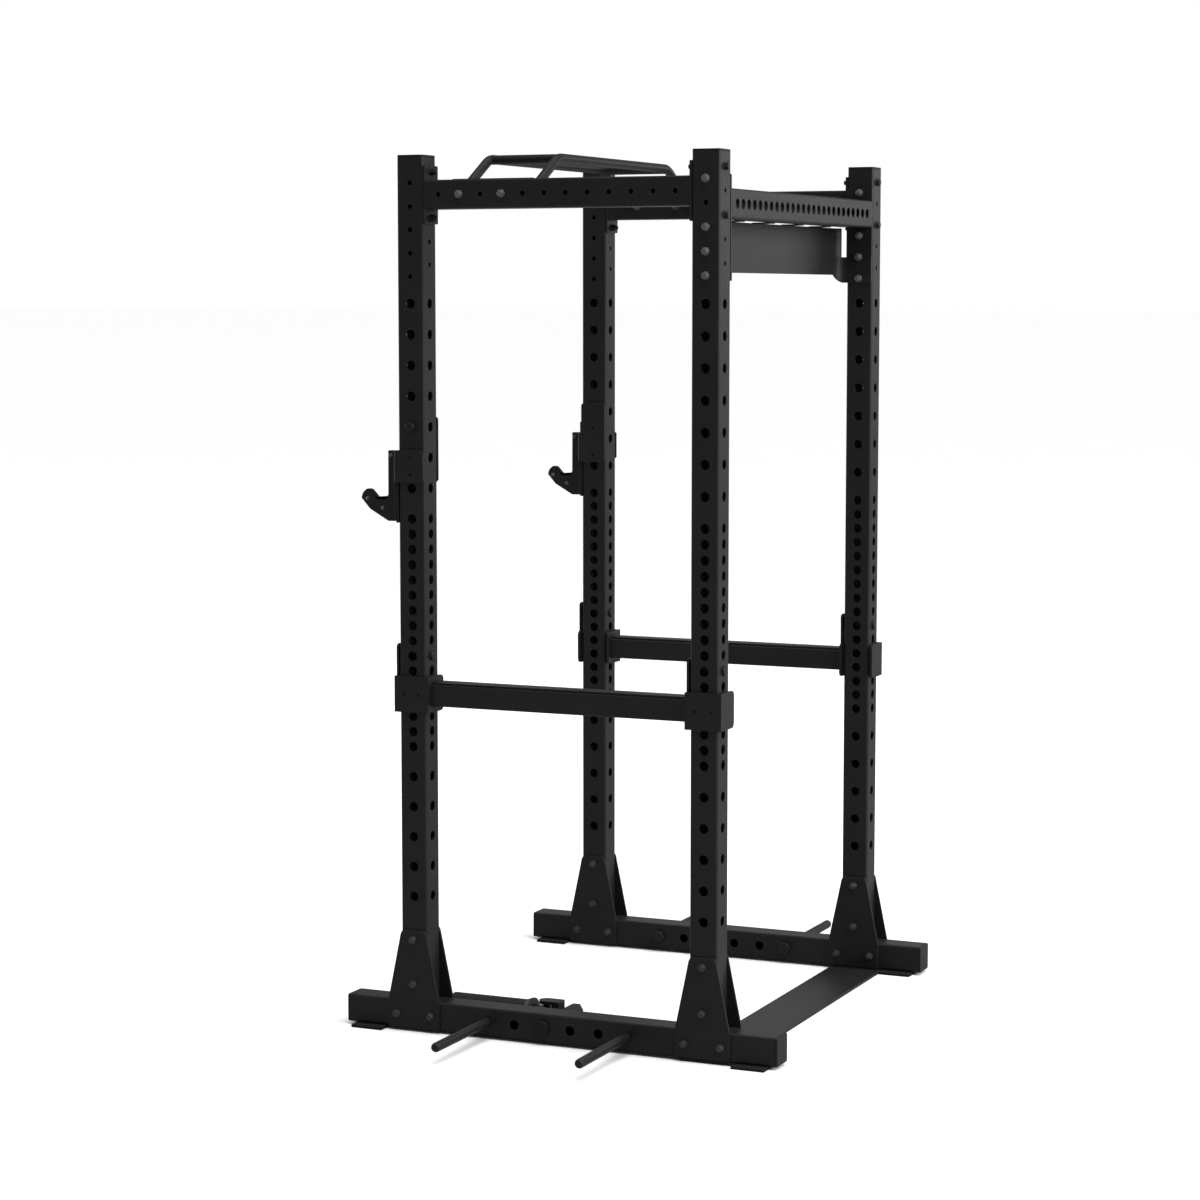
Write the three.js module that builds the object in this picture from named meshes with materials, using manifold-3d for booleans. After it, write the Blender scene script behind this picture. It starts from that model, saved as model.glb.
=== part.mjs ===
// Power cage: four drilled uprights on two floor rails, side beams and a rear crossmember on top,
// a pull-up frame, pinned bar hooks, pinned safety beams, band pegs and a swivelling landmine sleeve.
// Millimetres, +Z up. The origin is on the floor in the middle of the cage.
// -Y is the front, where the bar hooks are; +X is the right side, seen from the front.
import * as THREE from 'three';
import { mergeVertices } from 'three/addons/utils/BufferGeometryUtils.js';
import Module from 'manifold-3d';

const wasm = await Module();
wasm.setup();

// ---- Driving dimensions -------------------------------------------------------------------

const GAP = 0.3; // left between faces that touch
const TUBE = 75; // outside width of the square frame tubes
const HALF_TUBE = TUBE / 2;
const TUBE_WALL = 3;
const UPRIGHT_X = 584; // centre of an upright, left or right of the middle
const UPRIGHT_Y = 412; // centre of an upright, in front of or behind the middle
const CAGE_HEIGHT = 2306;
const CAP_THICKNESS = 6;

const PAD_THICKNESS = 8; // foot pads and floor plate
const RAIL_BOTTOM = PAD_THICKNESS + GAP;
const RAIL_TOP = RAIL_BOTTOM + TUBE;
const RAIL_MIDDLE = RAIL_BOTTOM + HALF_TUBE;
const RAIL_HALF_LENGTH = 614;
const RAIL_CAP = 6;
const RAIL_HOLE_PITCH = 80;
const RAIL_HOLES = [-2.5, -1.5, -0.5, 0.5, 1.5, 2.5].map((n) => n * RAIL_HOLE_PITCH);

const PIN_HOLE = 26; // the holes that pins go through
const PIN_RADIUS = 12.5;
const ROW_PITCH = 80; // between rows of pin holes
const FINE_PITCH = 40; // between rows in the bench-press zone
const TOP_ROW = 1923.5;
const UPPER_ROWS = 8;
const FINE_ROWS = 15;
const LOWER_ROWS = 5;

const BOLT_HOLE = 13;

const GUSSET_THICKNESS = 6;
const GUSSET_HALF_WIDTH = 75;
const GUSSET_HEIGHT = 265;
const GUSSET_BOLT_RISE = 45; // lower upright bolt above the rail
const GUSSET_BOLT_PITCH = 120;
const RAIL_BOLT_OFFSET = 50; // rail bolts, before and behind the upright's centre

const BEAM_MIDDLE = 2203.5; // height of the side beams' centre line
const BEAM_HOLE_PITCH = 60;
const BEAM_HOLES = 12;
const END_PLATE = 6;
const END_PLATE_HEIGHT = 150;
const END_PLATE_BOLTS = [-60, 60]; // above and below the beam's centre line

const CROSS_MIDDLE = 2173.5; // height of the rear crossmember's centre line
const CROSS_HOLE = 26;
const CROSS_HOLE_PITCH = 40;
const CROSS_HOLES = 26;
const SIDE_PLATE = 6; // plates between the rear crossmember and the uprights
const SIDE_PLATE_MIDDLE = 2113.5;
const SIDE_PLATE_HEIGHT = 266;
const SIDE_PLATE_BOLTS = [-120, -60, 0, 120]; // from the plate's middle

const PANEL_THICKNESS = 3;
const PANEL_FACE_Y = 349; // rear face of the panel's flat part
const PANEL_BEND = 38;
const PANEL_BOTTOM = 2003;
const PANEL_TOP = 2134;
const PANEL_EDGE = 532; // half the panel's width above its flanges
const PANEL_SLANT = [505, 536]; // where its lower edge slants down to the flanges
const PANEL_EARS = [1981, 2053]; // heights of the flanges at its ends
const PANEL_TABS = [-330, -110, 110, 330]; // they turn back under the crossmember
const PANEL_TAB_WIDTH = 42;
const PANEL_TAB_END = 395;

const GRIP_RADIUS = 12.5;
const PULL_UP_Z = 2303;
const PULL_UP_X = 370; // corners of the pull-up frame
const PULL_UP_Y = [-304, -106]; // its front and rear tubes
const PULL_UP_PLATE = 6;
const PULL_UP_MIDDLE_Y = -210;
const PULL_UP_PLATE_LENGTH = 236;
const PULL_UP_PLATE_Z = [2167, 2245.5];
const PULL_UP_BOLTS = [-270, -150];

const HOOK_ROW = TOP_ROW - 4 * ROW_PITCH; // the row that the bar hooks hang from
const PAD_SIDE = 2.4; // plastic pads on a bracket's side plates
const PAD_FACE = 6; // plastic pads on the faces that take the load
const BRACKET_PLATE = 5;
const SAFETY_ROW = TOP_ROW - 11.5 * ROW_PITCH; // the row that the safety beams hang from
const SAFETY_MIDDLE = 903.5;

const PEG_TIP = 921.5;
const PEG_RADIUS = 12.5;
const PEG_HOLE_Y = 200;

const SLEEVE_X = 460; // centre line of the landmine sleeve
const SLEEVE_RADIUS = 30;
const SLEEVE_BORE = 51; // takes the 50 mm end of a bar
const SLEEVE_TIP = -375;
const COLLAR = [-145.5, -136.5];
const COLLAR_RADIUS = 36.5;
const BARREL_Y = -40;
const BARREL_RADIUS = 20;
const BARREL_X = [410, 543];
const SWIVEL_Y = -100.5;

const STEEL = { color: 0x1d1d1f, roughness: 0.62, metalness: 0.35 };
const BOLT_STEEL = { color: 0x6e7074, roughness: 0.38, metalness: 0.8 };
const PLASTIC = { color: 0x0c0c0d, roughness: 0.55, metalness: 0.0 };
const RUBBER = { color: 0x0a0a0a, roughness: 0.9, metalness: 0.0 };

// ---- Shared shapes ------------------------------------------------------------------------

const SQUARE = 4;
const HEXAGON = 6;
const ROUND = 12;

// A closed solid from a geometry; a solid is returned as it is.
function solid(geometry) {
  if (!geometry.isBufferGeometry) {
    return geometry;
  }
  const bare = geometry.clone();
  bare.deleteAttribute('normal');
  bare.deleteAttribute('uv');
  const merged = mergeVertices(bare, 1e-4);
  return new wasm.Manifold(new wasm.Mesh({
    numProp: 3,
    vertProperties: new Float32Array(merged.attributes.position.array),
    triVerts: new Uint32Array(merged.index.array),
  }));
}

// The geometry of a solid.
function geometryOf(manifold) {
  const mesh = manifold.getMesh();
  const geometry = new THREE.BufferGeometry();
  geometry.setAttribute('position', new THREE.BufferAttribute(mesh.vertProperties, 3));
  geometry.setIndex(new THREE.BufferAttribute(mesh.triVerts, 1));
  return geometry;
}

// A box between two values on each axis, given in either order.
function boxBetween([x0, x1], [y0, y1], [z0, z1]) {
  const geometry = new THREE.BoxGeometry(Math.abs(x1 - x0), Math.abs(y1 - y0), Math.abs(z1 - z0));
  return geometry.translate((x0 + x1) / 2, (y0 + y1) / 2, (z0 + z1) / 2);
}

// Turns a geometry that stands along Z so that it lies along another axis.
function layAlong(geometry, axis) {
  if (axis === 'x') {
    return geometry.rotateY(Math.PI / 2);
  }
  if (axis === 'y') {
    return geometry.rotateX(-Math.PI / 2);
  }
  return geometry;
}

// A prism along an axis, from one value on that axis to another, with its corners on a circle.
function prism(axis, radius, from, to, [u, v], sides) {
  const corners = Array.from({ length: sides }, (_, i) => {
    const angle = ((i + 0.5) * 2 * Math.PI) / sides;
    return new THREE.Vector2(radius * Math.cos(angle), radius * Math.sin(angle));
  });
  const depth = Math.abs(to - from);
  const geometry = extrude(new THREE.Shape(corners), depth).translate(0, 0, -depth / 2);
  layAlong(geometry, axis);
  const middle = (from + to) / 2;
  const place = { x: [middle, u, v], y: [u, middle, v], z: [u, v, middle] }[axis];
  return geometry.translate(...place);
}

// A prism that a round hole's circle fits inside, for cutting.
function holeTool(axis, diameter, from, to, place, sides = SQUARE) {
  return prism(axis, diameter / 2 / Math.cos(Math.PI / sides), from, to, place, sides);
}

function cut(geometry, tools) {
  let result = solid(geometry);
  for (const tool of tools) {
    result = result.subtract(solid(tool));
  }
  return result;
}

function join(geometries) {
  let result = solid(geometries[0]);
  for (const geometry of geometries.slice(1)) {
    result = result.add(solid(geometry));
  }
  return result;
}

// A closed outline in (u, v).
function outline(points) {
  return new THREE.Shape(points.map(([u, v]) => new THREE.Vector2(u, v)));
}

function extrude(shape, depth, curveSegments = 4) {
  return new THREE.ExtrudeGeometry(shape, { depth, bevelEnabled: false, curveSegments });
}

// A plate that faces X: the outline is in (y, z).
function plateFacingX(shape, [x0, x1]) {
  const basis = new THREE.Matrix4().makeBasis(
    new THREE.Vector3(0, 1, 0),
    new THREE.Vector3(0, 0, 1),
    new THREE.Vector3(1, 0, 0),
  );
  return extrude(shape, Math.abs(x1 - x0)).applyMatrix4(basis).translate(Math.min(x0, x1), 0, 0);
}

// A plate that faces Y: the outline is in (x, z).
function plateFacingY(shape, [y0, y1]) {
  const basis = new THREE.Matrix4().makeBasis(
    new THREE.Vector3(1, 0, 0),
    new THREE.Vector3(0, 0, 1),
    new THREE.Vector3(0, -1, 0),
  );
  return extrude(shape, Math.abs(y1 - y0)).applyMatrix4(basis).translate(0, Math.max(y0, y1), 0);
}

// Cuts bolt holes along an axis through a plate that lies between two values on that axis.
function drill(plate, axis, [from, to], places) {
  const start = Math.min(from, to) - 1;
  const end = Math.max(from, to) + 1;
  return cut(plate, places.map((place) => holeTool(axis, BOLT_HOLE, start, end, place)));
}

// A hollow square tube along an axis, centred on (u, v) of the other two axes.
function squareTube(axis, from, to, [u, v], width = TUBE, height = TUBE, wall = TUBE_WALL) {
  const ranges = (margin) => {
    const across = [u - width / 2 + margin, u + width / 2 - margin];
    const up = [v - height / 2 + margin, v + height / 2 - margin];
    const along = margin > 0 ? [from - 1, to + 1] : [from, to];
    return { x: [along, across, up], y: [across, along, up], z: [across, up, along] }[axis];
  };
  return cut(boxBetween(...ranges(0)), [boxBetween(...ranges(wall))]);
}

const cage = new THREE.Group();

function addPart(name, shape, finish) {
  const geometry = geometryOf(solid(shape));
  const mesh = new THREE.Mesh(geometry, new THREE.MeshStandardMaterial(finish));
  mesh.name = name;
  cage.add(mesh);
}

const SIDES = [['right', 1], ['left', -1]];
const ENDS = [['front', -1], ['rear', 1]];
const CORNERS = ENDS.flatMap(([end, endSign]) => SIDES.map(([side, sideSign]) => ({
  name: `${end}_${side}`,
  isRear: endSign > 0,
  x: sideSign * UPRIGHT_X,
  y: endSign * UPRIGHT_Y,
  sideSign,
  endSign,
})));

// ---- Uprights and their caps --------------------------------------------------------------

function pinRows() {
  const rows = [];
  for (let i = 0; i < UPPER_ROWS; i += 1) {
    rows.push(TOP_ROW - i * ROW_PITCH);
  }
  for (let i = 0; i < FINE_ROWS; i += 1) {
    rows.push(rows[UPPER_ROWS - 1] - (i + 1) * FINE_PITCH);
  }
  const lastFine = rows[rows.length - 1];
  for (let i = 0; i < LOWER_ROWS; i += 1) {
    rows.push(lastFine - (i + 1) * ROW_PITCH);
  }
  return rows;
}

const gussetBolts = [0, 1].map((n) => RAIL_TOP + GUSSET_BOLT_RISE + n * GUSSET_BOLT_PITCH);
const endPlateBolts = END_PLATE_BOLTS.map((rise) => BEAM_MIDDLE + rise);
const sidePlateBolts = SIDE_PLATE_BOLTS.map((rise) => SIDE_PLATE_MIDDLE + rise);

function upright({ x, y, isRear }) {
  const tube = squareTube('z', RAIL_TOP + GAP, CAGE_HEIGHT - CAP_THICKNESS - GAP, [x, y]);
  const acrossX = [x - TUBE, x + TUBE];
  const acrossY = [y - TUBE, y + TUBE];
  const tools = [];
  for (const z of pinRows()) {
    tools.push(holeTool('x', PIN_HOLE, ...acrossX, [y, z]));
    tools.push(holeTool('y', PIN_HOLE, ...acrossY, [x, z]));
  }
  for (const z of [...gussetBolts, ...(isRear ? sidePlateBolts : [])]) {
    tools.push(holeTool('x', BOLT_HOLE, ...acrossX, [y, z]));
  }
  for (const z of endPlateBolts) {
    tools.push(holeTool('y', BOLT_HOLE, ...acrossY, [x, z]));
  }
  return cut(tube, tools);
}

for (const corner of CORNERS) {
  addPart(`upright_${corner.name}`, upright(corner), STEEL);
}

for (const { name, x, y } of CORNERS) {
  addPart(`upright_cap_${name}`, boxBetween(
    [x - HALF_TUBE, x + HALF_TUBE],
    [y - HALF_TUBE, y + HALF_TUBE],
    [CAGE_HEIGHT - CAP_THICKNESS, CAGE_HEIGHT],
  ), PLASTIC);
}

// ---- Floor rails, pads and floor plate ----------------------------------------------------

function railBoltPlaces() {
  const offsets = [-RAIL_BOLT_OFFSET, RAIL_BOLT_OFFSET];
  return [-UPRIGHT_Y, UPRIGHT_Y].flatMap((y) => offsets.map((offset) => y + offset));
}

function rail(sideSign) {
  const x = sideSign * UPRIGHT_X;
  const end = RAIL_HALF_LENGTH - RAIL_CAP - GAP;
  const tools = RAIL_HOLES.map((y) => holeTool('x', PIN_HOLE, x - TUBE, x + TUBE, [y, RAIL_MIDDLE]));
  for (const y of railBoltPlaces()) {
    tools.push(holeTool('x', BOLT_HOLE, x - TUBE, x + TUBE, [y, RAIL_MIDDLE]));
  }
  return cut(squareTube('y', -end, end, [x, RAIL_MIDDLE]), tools);
}

for (const [side, sign] of SIDES) {
  addPart(`base_rail_${side}`, rail(sign), STEEL);
}

const FOOT_PAD_WIDTH = 131;
const FOOT_PAD_Y = [498, 589];

for (const { name, x, endSign } of CORNERS) {
  addPart(`rail_cap_${name}`, boxBetween(
    [x - HALF_TUBE, x + HALF_TUBE],
    [endSign * (RAIL_HALF_LENGTH - RAIL_CAP), endSign * RAIL_HALF_LENGTH],
    [RAIL_BOTTOM, RAIL_TOP],
  ), PLASTIC);
  addPart(`foot_pad_${name}`, boxBetween(
    [x - FOOT_PAD_WIDTH / 2, x + FOOT_PAD_WIDTH / 2],
    FOOT_PAD_Y.map((y) => endSign * y),
    [0, PAD_THICKNESS],
  ), RUBBER);
}

const FLOOR_PLATE_Y = [346, 496];
const floorPlateHalf = UPRIGHT_X + HALF_TUBE;
addPart('rear_floor_plate', boxBetween(
  [-floorPlateHalf, floorPlateHalf],
  FLOOR_PLATE_Y,
  [0, PAD_THICKNESS],
), STEEL);

// ---- Gusset plates on the feet of the uprights --------------------------------------------

function gussetShape(y) {
  const top = RAIL_BOTTOM + GUSSET_HEIGHT;
  const half = [
    [GUSSET_HALF_WIDTH, RAIL_BOTTOM + 2],
    [GUSSET_HALF_WIDTH, RAIL_TOP],
    [HALF_TUBE, top - 10],
    [HALF_TUBE - 6, top],
  ];
  const points = [...half, ...half.map(([u, v]) => [-u, v]).reverse()];
  return outline(points.map(([u, v]) => [y + u, v]));
}

function gussetHoles(y) {
  return [
    ...gussetBolts.map((z) => [y, z]),
    ...[-RAIL_BOLT_OFFSET, RAIL_BOLT_OFFSET].map((offset) => [y + offset, RAIL_MIDDLE]),
  ];
}

const gussetInner = HALF_TUBE + GAP;
const gussetOuter = gussetInner + GUSSET_THICKNESS;

for (const { name, x, y, sideSign } of CORNERS) {
  for (const [face, way] of [['outer', sideSign], ['inner', -sideSign]]) {
    const faces = [x + way * gussetInner, x + way * gussetOuter];
    const plate = plateFacingX(gussetShape(y), faces);
    addPart(`gusset_${name}_${face}`, drill(plate, 'x', faces, gussetHoles(y)), STEEL);
  }
}

// ---- Side beams ---------------------------------------------------------------------------

const beamEnd = UPRIGHT_Y - HALF_TUBE - GAP;

function sideBeam(sideSign) {
  const x = sideSign * UPRIGHT_X;
  const start = beamEnd - END_PLATE;
  const tools = [];
  for (let i = 0; i < BEAM_HOLES; i += 1) {
    const y = (i - (BEAM_HOLES - 1) / 2) * BEAM_HOLE_PITCH;
    tools.push(holeTool('x', BOLT_HOLE, x - TUBE, x + TUBE, [y, BEAM_MIDDLE]));
  }
  const tube = cut(squareTube('y', -start - 1, start + 1, [x, BEAM_MIDDLE]), tools);
  const halfHeight = END_PLATE_HEIGHT / 2;
  const corners = [
    [x - HALF_TUBE, BEAM_MIDDLE - halfHeight],
    [x + HALF_TUBE, BEAM_MIDDLE - halfHeight],
    [x + HALF_TUBE, BEAM_MIDDLE + halfHeight],
    [x - HALF_TUBE, BEAM_MIDDLE + halfHeight],
  ];
  const plates = [-1, 1].map((end) => {
    const faces = [end * start, end * beamEnd];
    return drill(plateFacingY(outline(corners), faces), 'y', faces, endPlateBolts.map((z) => [x, z]));
  });
  return join([tube, ...plates]);
}

for (const [side, sign] of SIDES) {
  addPart(`side_beam_${side}`, sideBeam(sign), STEEL);
}

// ---- Rear crossmember, its side plates and the sheet panel --------------------------------
const sidePlateInner = UPRIGHT_X - HALF_TUBE - GAP - SIDE_PLATE;

// The crossmember is welded between two side plates that bolt to the uprights.
function rearCrossmember() {
  const end = sidePlateInner + 1;
  const tools = [];
  for (let i = 0; i < CROSS_HOLES; i += 1) {
    const x = (i - (CROSS_HOLES - 1) / 2) * CROSS_HOLE_PITCH;
    tools.push(holeTool('y', CROSS_HOLE, UPRIGHT_Y, UPRIGHT_Y + TUBE, [x, CROSS_MIDDLE]));
  }
  const tube = cut(squareTube('x', -end, end, [UPRIGHT_Y, CROSS_MIDDLE]), tools);
  const bottom = SIDE_PLATE_MIDDLE - SIDE_PLATE_HEIGHT / 2;
  const top = SIDE_PLATE_MIDDLE + SIDE_PLATE_HEIGHT / 2;
  const front = UPRIGHT_Y - HALF_TUBE;
  const back = UPRIGHT_Y + HALF_TUBE;
  const corners = [[front, bottom], [back, bottom], [back, top], [front, top]];
  const places = sidePlateBolts.map((z) => [UPRIGHT_Y, z]);
  const plates = [-1, 1].map((sign) => {
    const faces = [sign * sidePlateInner, sign * (sidePlateInner + SIDE_PLATE)];
    return drill(plateFacingX(outline(corners), faces), 'x', faces, places);
  });
  return join([tube, ...plates]);
}

addPart('rear_crossmember', rearCrossmember(), STEEL);

// A sheet whose ends bend back into flanges inside the crossmember's side plates, with tabs on
// its top edge that turn back under the crossmember.
function sheetPanel() {
  const front = PANEL_FACE_Y - PANEL_THICKNESS;
  const edge = sidePlateInner - GAP;
  const back = UPRIGHT_Y + HALF_TUBE;
  const section = new THREE.Shape();
  section.moveTo(-edge, back);
  section.lineTo(-edge, front + PANEL_BEND);
  section.quadraticCurveTo(-edge, front, -edge + PANEL_BEND, front);
  section.lineTo(edge - PANEL_BEND, front);
  section.quadraticCurveTo(edge, front, edge, front + PANEL_BEND);
  section.lineTo(edge, back);
  section.lineTo(edge - PANEL_THICKNESS, back);
  section.lineTo(edge - PANEL_THICKNESS, front + PANEL_BEND);
  section.quadraticCurveTo(
    edge - PANEL_THICKNESS,
    front + PANEL_THICKNESS,
    edge - PANEL_BEND,
    front + PANEL_THICKNESS,
  );
  section.lineTo(-edge + PANEL_BEND, front + PANEL_THICKNESS);
  section.quadraticCurveTo(
    -edge + PANEL_THICKNESS,
    front + PANEL_THICKNESS,
    -edge + PANEL_THICKNESS,
    front + PANEL_BEND,
  );
  section.lineTo(-edge + PANEL_THICKNESS, back);
  const sheet = extrude(section, PANEL_TOP - PANEL_EARS[0], 6).translate(0, 0, PANEL_EARS[0]);
  const depth = [front - 20, back + 20];
  const [slantStart, slantEnd] = PANEL_SLANT;
  const lower = outline([
    [-slantEnd, PANEL_EARS[0] - 10],
    [slantEnd, PANEL_EARS[0] - 10],
    [slantEnd, PANEL_EARS[0]],
    [slantStart, PANEL_BOTTOM],
    [-slantStart, PANEL_BOTTOM],
    [-slantEnd, PANEL_EARS[0]],
  ]);
  const trimmed = cut(sheet, [
    plateFacingY(lower, depth),
    ...[-1, 1].map((sign) => boxBetween(
      [sign * PANEL_EDGE, sign * (edge + 20)],
      depth,
      [PANEL_EARS[1], PANEL_TOP + 10],
    )),
  ]);
  const underside = CROSS_MIDDLE - HALF_TUBE - GAP;
  const tabs = PANEL_TABS.flatMap((x) => {
    const width = [x - PANEL_TAB_WIDTH / 2, x + PANEL_TAB_WIDTH / 2];
    return [
      boxBetween(width, [front, PANEL_FACE_Y], [PANEL_TOP - 1, underside]),
      boxBetween(width, [front, PANEL_TAB_END], [underside - PANEL_THICKNESS, underside]),
    ];
  });
  return join([trimmed, ...tabs]);
}

addPart('rear_panel', sheetPanel(), STEEL);

// ---- Pull-up frame ------------------------------------------------------------------------

const pullUpPlateOuter = UPRIGHT_X - HALF_TUBE - GAP;
const pullUpPlateInner = pullUpPlateOuter - PULL_UP_PLATE;

function pullUpPlate(sign) {
  const halfLength = PULL_UP_PLATE_LENGTH / 2;
  const [bottom, top] = PULL_UP_PLATE_Z;
  const corners = [
    [PULL_UP_MIDDLE_Y - halfLength, bottom],
    [PULL_UP_MIDDLE_Y + halfLength, bottom],
    [PULL_UP_MIDDLE_Y + halfLength, top],
    [PULL_UP_MIDDLE_Y - halfLength, top],
  ];
  const faces = [sign * pullUpPlateInner, sign * pullUpPlateOuter];
  const places = PULL_UP_BOLTS.map((y) => [y, BEAM_MIDDLE]);
  return drill(plateFacingX(outline(corners), faces), 'x', faces, places);
}

// A round bar along a smooth path.
function bentBar(points, radius, steps) {
  const section = new THREE.Shape();
  section.absarc(0, 0, radius, 0, Math.PI * 2);
  const path = new THREE.CatmullRomCurve3(points.map((p) => new THREE.Vector3(...p)), false, 'centripetal');
  return new THREE.ExtrudeGeometry(section, { steps, extrudePath: path, curveSegments: 5 });
}

// A tube that rises from one end plate, runs across and comes down to the other plate.
function pullUpTube(y) {
  const plateFace = pullUpPlateInner + 2;
  const half = [
    [plateFace, y, BEAM_MIDDLE + 2],
    [plateFace - 60, y, BEAM_MIDDLE + 36],
    [PULL_UP_X + 30, y, PULL_UP_Z - 16],
    [PULL_UP_X, y, PULL_UP_Z - 3.5],
    [PULL_UP_X - 30, y, PULL_UP_Z],
    [PULL_UP_X - 100, y, PULL_UP_Z],
  ];
  const otherHalf = half.map(([x, yy, z]) => [-x, yy, z]).reverse();
  const bar = bentBar([...half, ...otherHalf], GRIP_RADIUS, 26);
  return cut(bar, [-1, 1].map((sign) => boxBetween(
    [sign * plateFace, sign * (plateFace + 60)],
    [y - 40, y + 40],
    [BEAM_MIDDLE - 60, BEAM_MIDDLE + 60],
  )));
}

function sideGrip(sign) {
  return prism('y', GRIP_RADIUS, ...PULL_UP_Y, [sign * (PULL_UP_X - 4), PULL_UP_Z - 3], ROUND);
}

addPart('pull_up_frame', join([
  ...[-1, 1].map(pullUpPlate),
  ...PULL_UP_Y.map(pullUpTube),
  ...[-1, 1].map(sideGrip),
]), STEEL);

// ---- Bar hooks ----------------------------------------------------------------------------
// Each hook is a welded bracket, a pin through the upright, a plastic liner against the upright
// and a plastic cradle. The bracket wraps the upright and carries two narrower cheeks in front,
// with the cradle between them.

const uprightFront = -(UPRIGHT_Y + HALF_TUBE);
const uprightBack = -(UPRIGHT_Y - HALF_TUBE);
const sidePlateStart = HALF_TUBE + GAP + PAD_SIDE + GAP; // from the upright's centre line
const sidePlateEnd = sidePlateStart + BRACKET_PLATE;
const hookWebBack = uprightFront - GAP - PAD_FACE - GAP;
const hookWebFront = hookWebBack - BRACKET_PLATE;
const HOOK_WEB = [1357, 1542];
const HOOK_INNER_PLATE = [1455, 1631];
const HOOK_OUTER_PLATE = [1459, 1545];
const HOOK_HALF_WIDTH = 12; // of the cheeks
const CHEEK_PLATE = 4;
const HOOK_CHEEK = [1355, 1540];
const HOOK_STRIP_FRONT = -493;
const HOOK_SEAT = 1411;
const HOOK_LIP_TOP = 1435.5;
const HOOK_SCREWS = [[-485.5, 1527.5], [-556, 1413], [-510.5, 1389]];
const HOOK_SCREW_HOLE = 7;
const CRADLE_PROUD = 2.5;

// The hook seen from the side, in (y, z); proud grows its front and its seat.
function hookOutline(proud, back) {
  const front = HOOK_STRIP_FRONT - proud;
  const seat = HOOK_SEAT + proud;
  const shape = new THREE.Shape();
  shape.moveTo(back, HOOK_CHEEK[0]);
  shape.lineTo(back, HOOK_CHEEK[1]);
  shape.lineTo(front, HOOK_CHEEK[1]);
  shape.lineTo(front, seat + 16);
  shape.quadraticCurveTo(front - 1, seat, front - 16, seat);
  shape.lineTo(-521 + proud, seat);
  shape.quadraticCurveTo(-529 + proud, seat, -534 + proud, seat + 6);
  shape.lineTo(-551 + proud, HOOK_LIP_TOP + proud);
  shape.lineTo(-559.5, HOOK_LIP_TOP + proud);
  shape.quadraticCurveTo(-570, 1432, -573.5, 1414);
  shape.lineTo(-547, 1385);
  shape.lineTo(-494, HOOK_CHEEK[0]);
  return shape;
}

function chamferedPlate(y, z, chamfer) {
  const [y0, y1] = y;
  const [z0, z1] = z;
  return outline([
    [y0, z0],
    [y1 - chamfer, z0],
    [y1, z0 + chamfer],
    [y1, z1 - chamfer],
    [y1 - chamfer, z1],
    [y0 + chamfer, z1],
    [y0, z1 - chamfer],
  ]);
}

function hookBracket(x, sideSign) {
  const inner = [x - sideSign * sidePlateStart, x - sideSign * sidePlateEnd];
  const outer = [x + sideSign * sidePlateStart, x + sideSign * sidePlateEnd];
  const cheeks = [-1, 1].map((way) => cut(
    plateFacingX(hookOutline(0, hookWebBack - 1), [
      x + way * (HOOK_HALF_WIDTH - CHEEK_PLATE),
      x + way * HOOK_HALF_WIDTH,
    ]),
    HOOK_SCREWS.map((place) => holeTool('x', HOOK_SCREW_HOLE, x - TUBE, x + TUBE, place)),
  ));
  return join([
    boxBetween([inner[0], outer[0]], [hookWebFront, hookWebBack], HOOK_WEB),
    boxBetween([inner[1], outer[1]], [hookWebFront, hookWebBack], [HOOK_OUTER_PLATE[0], HOOK_WEB[1]]),
    plateFacingX(chamferedPlate([uprightFront, uprightBack], HOOK_INNER_PLATE, 8), inner),
    plateFacingX(chamferedPlate([uprightFront, uprightBack], HOOK_OUTER_PLATE, 8), outer),
    ...[inner, outer].map((range) => boxBetween(
      range,
      [hookWebFront + 1, uprightFront + 10],
      [HOOK_OUTER_PLATE[0], HOOK_WEB[1]],
    )),
    ...cheeks,
  ]);
}

function hookLiner(x, sideSign) {
  const reach = sidePlateStart - GAP;
  const inner = [x - sideSign * (HALF_TUBE + GAP), x - sideSign * reach];
  const outer = [x + sideSign * (HALF_TUBE + GAP), x + sideSign * reach];
  const sides = [uprightFront - GAP - PAD_FACE, uprightBack - 4];
  return join([
    boxBetween([inner[1], outer[1]], [hookWebBack + GAP, uprightFront - GAP], [HOOK_WEB[0] - 4, HOOK_WEB[1]]),
    boxBetween(inner, sides, [HOOK_INNER_PLATE[0] + 3, HOOK_ROW - 30]),
    boxBetween(outer, sides, [HOOK_OUTER_PLATE[0] + 3, HOOK_OUTER_PLATE[1] - 3]),
  ]);
}

for (const [side, sign] of SIDES) {
  const x = sign * UPRIGHT_X;
  const cradleEdge = HOOK_HALF_WIDTH - CHEEK_PLATE - GAP;
  const cradle = cut(
    plateFacingX(hookOutline(CRADLE_PROUD, hookWebFront - GAP), [x - cradleEdge, x + cradleEdge]),
    HOOK_SCREWS.map((place) => holeTool('x', HOOK_SCREW_HOLE, x - TUBE, x + TUBE, place)),
  );
  const pinStart = x - sign * (sidePlateStart - GAP);
  const pinEnd = x + sign * (HALF_TUBE + 14);
  addPart(`hook_bracket_${side}`, hookBracket(x, sign), STEEL);
  addPart(`hook_cradle_${side}`, cradle, PLASTIC);
  addPart(`hook_liner_${side}`, hookLiner(x, sign), PLASTIC);
  addPart(`hook_pin_${side}`, prism('x', PIN_RADIUS, pinStart, pinEnd, [-UPRIGHT_Y, HOOK_ROW], ROUND), STEEL);
}

// ---- Safety beams -------------------------------------------------------------------------
// Each safety is one weldment: a beam between two brackets that wrap the front, outer and rear
// faces of their uprights. Each tall front plate carries a pin, and plastic lines the brackets.

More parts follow.
